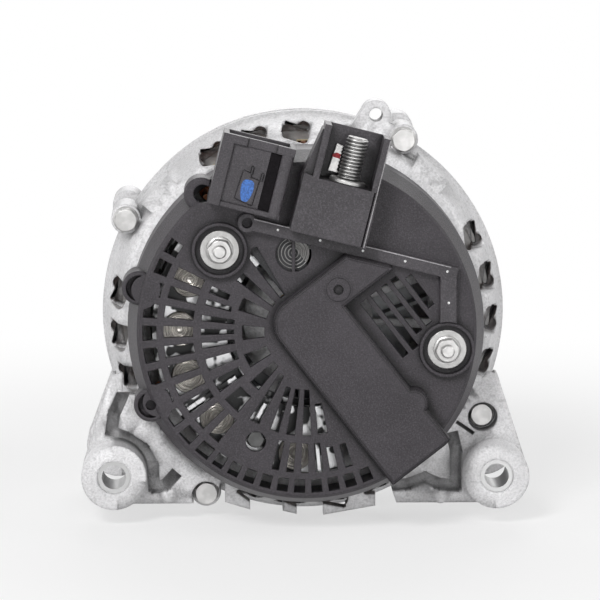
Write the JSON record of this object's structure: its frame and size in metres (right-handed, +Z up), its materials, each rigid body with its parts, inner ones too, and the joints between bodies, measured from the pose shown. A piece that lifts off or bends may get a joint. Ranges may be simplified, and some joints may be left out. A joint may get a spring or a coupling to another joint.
{
  "type": "alternator",
  "caption": "Automotive claw-pole alternator with a grille cover, a radial plug socket, a battery stud, four mounting ears and a ribbed belt pulley.",
  "frame": {"origin": "Middle of the footprint at the lowest point: the underside of the round casting, below the shaft's axis", "axes": "+Z up, the shaft lies along Y at a height of 75.2 mm; the cover and terminals look towards -Y, the pulley towards +Y; +X is to the right in the picture"},
  "size_m": [0.165, 0.1744, 0.1554],
  "materials": {
    "cast_aluminium": "sandblasted casting",
    "laminated_steel": "stacked sheet edges",
    "enamelled_copper": "enamelled copper wire",
    "insulation": "insulating paper and plastic",
    "cover_plastic": "fine moulded grain",
    "terminal_plastic": "fine moulded grain",
    "regulator_plastic": "moulded",
    "board_plastic": "moulded",
    "zinc_steel": "zinc plated",
    "bush_steel": "turned",
    "terminal_brass": "stamped",
    "sink_aluminium": "pressed",
    "diode_metal": "tinned",
    "carbon": "pressed carbon",
    "spring_steel": "drawn wire",
    "ring_copper": "turned and polished",
    "ring_core_plastic": "moulded",
    "pole_steel": "forged",
    "shaft_steel": "ground",
    "fan_steel": "stamped sheet",
    "bearing_steel": "ground and polished",
    "cage_plastic": "moulded",
    "retainer_steel": "stamped sheet",
    "pulley_steel": "dark coating on turned steel"
  },
  "bodies": {
    "housing": {"rear_bracket": "cast_aluminium", "front_bracket": "cast_aluminium", "stator_core": "laminated_steel", "stator_winding": "enamelled_copper", "slot_liners": "insulation", "phase_leads": "enamelled_copper", "rear_cover": "cover_plastic", "terminal_block": "terminal_plastic", "plug_socket": "terminal_plastic", "socket_pins": "terminal_brass", "battery_stud": "zinc_steel", "terminal_strip": "terminal_brass", "cover_nuts": "zinc_steel", "cover_washers": "zinc_steel", "cover_studs": "zinc_steel", "stud_bushes": "board_plastic", "rectifier_screws": "zinc_steel", "positive_heat_sink": "sink_aluminium", "negative_heat_sink": "sink_aluminium", "positive_diodes": "diode_metal", "negative_diodes": "diode_metal", "phase_board": "board_plastic", "regulator": "regulator_plastic", "brush_holder": "board_plastic", "outer_brush_spring": "spring_steel", "inner_brush_spring": "spring_steel", "front_bearing_outer": "bearing_steel", "rear_bearing_outer": "bearing_steel", "rear_bearing_sleeve": "cage_plastic", "bearing_retainer": "retainer_steel", "retainer_screws": "zinc_steel", "through_bolts": "zinc_steel", "mount_bushes": "bush_steel"},
    "rotor": {"rotor_shaft": "shaft_steel", "rear_claw_pole": "pole_steel", "front_claw_pole": "pole_steel", "coil_bobbin": "insulation", "field_coil": "enamelled_copper", "rear_fan": "fan_steel", "front_fan": "fan_steel", "front_bearing_inner": "bearing_steel", "rear_bearing_inner": "bearing_steel", "slip_ring_core": "ring_core_plastic", "slip_rings": "ring_copper", "spacer_collar": "zinc_steel", "pulley": "pulley_steel", "pulley_nut": "pulley_steel"},
    "front_ball_set": {"front_bearing_balls": "bearing_steel", "front_bearing_cage": "cage_plastic"},
    "rear_ball_set": {"rear_bearing_balls": "bearing_steel", "rear_bearing_cage": "cage_plastic"},
    "outer_brush": {"outer_brush": "carbon"},
    "inner_brush": {"inner_brush": "carbon"}
  },
  "joints": [
    {"name": "rotor_spin", "type": "hinge", "parent": "housing", "child": "rotor", "pos_m": [0, 0, 0.0752], "axis": [0, 1, 0], "continuous": true},
    {"name": "front_ball_orbit", "type": "hinge", "parent": "housing", "child": "front_ball_set", "pos_m": [0, 0, 0.0752], "axis": [0, 1, 0], "continuous": true},
    {"name": "rear_ball_orbit", "type": "hinge", "parent": "housing", "child": "rear_ball_set", "pos_m": [0, 0, 0.0752], "axis": [0, 1, 0], "continuous": true},
    {"name": "outer_brush_slide", "type": "slide", "parent": "housing", "child": "outer_brush", "axis": [0.6129, 0, -0.7902], "range_m": [0, 0.006], "stiffness_N_per_m": 250, "springref_m": -0.012, "deforming": ["outer_brush_spring"]},
    {"name": "inner_brush_slide", "type": "slide", "parent": "housing", "child": "inner_brush", "axis": [0.6129, 0, -0.7902], "range_m": [0, 0.006], "stiffness_N_per_m": 250, "springref_m": -0.012, "deforming": ["inner_brush_spring"]}
  ],
  "couplings": [
    {"joint": "front_ball_orbit", "follows": "rotor_spin", "ratio": 0.3734},
    {"joint": "rear_ball_orbit", "follows": "rotor_spin", "ratio": 0.392}
  ]
}
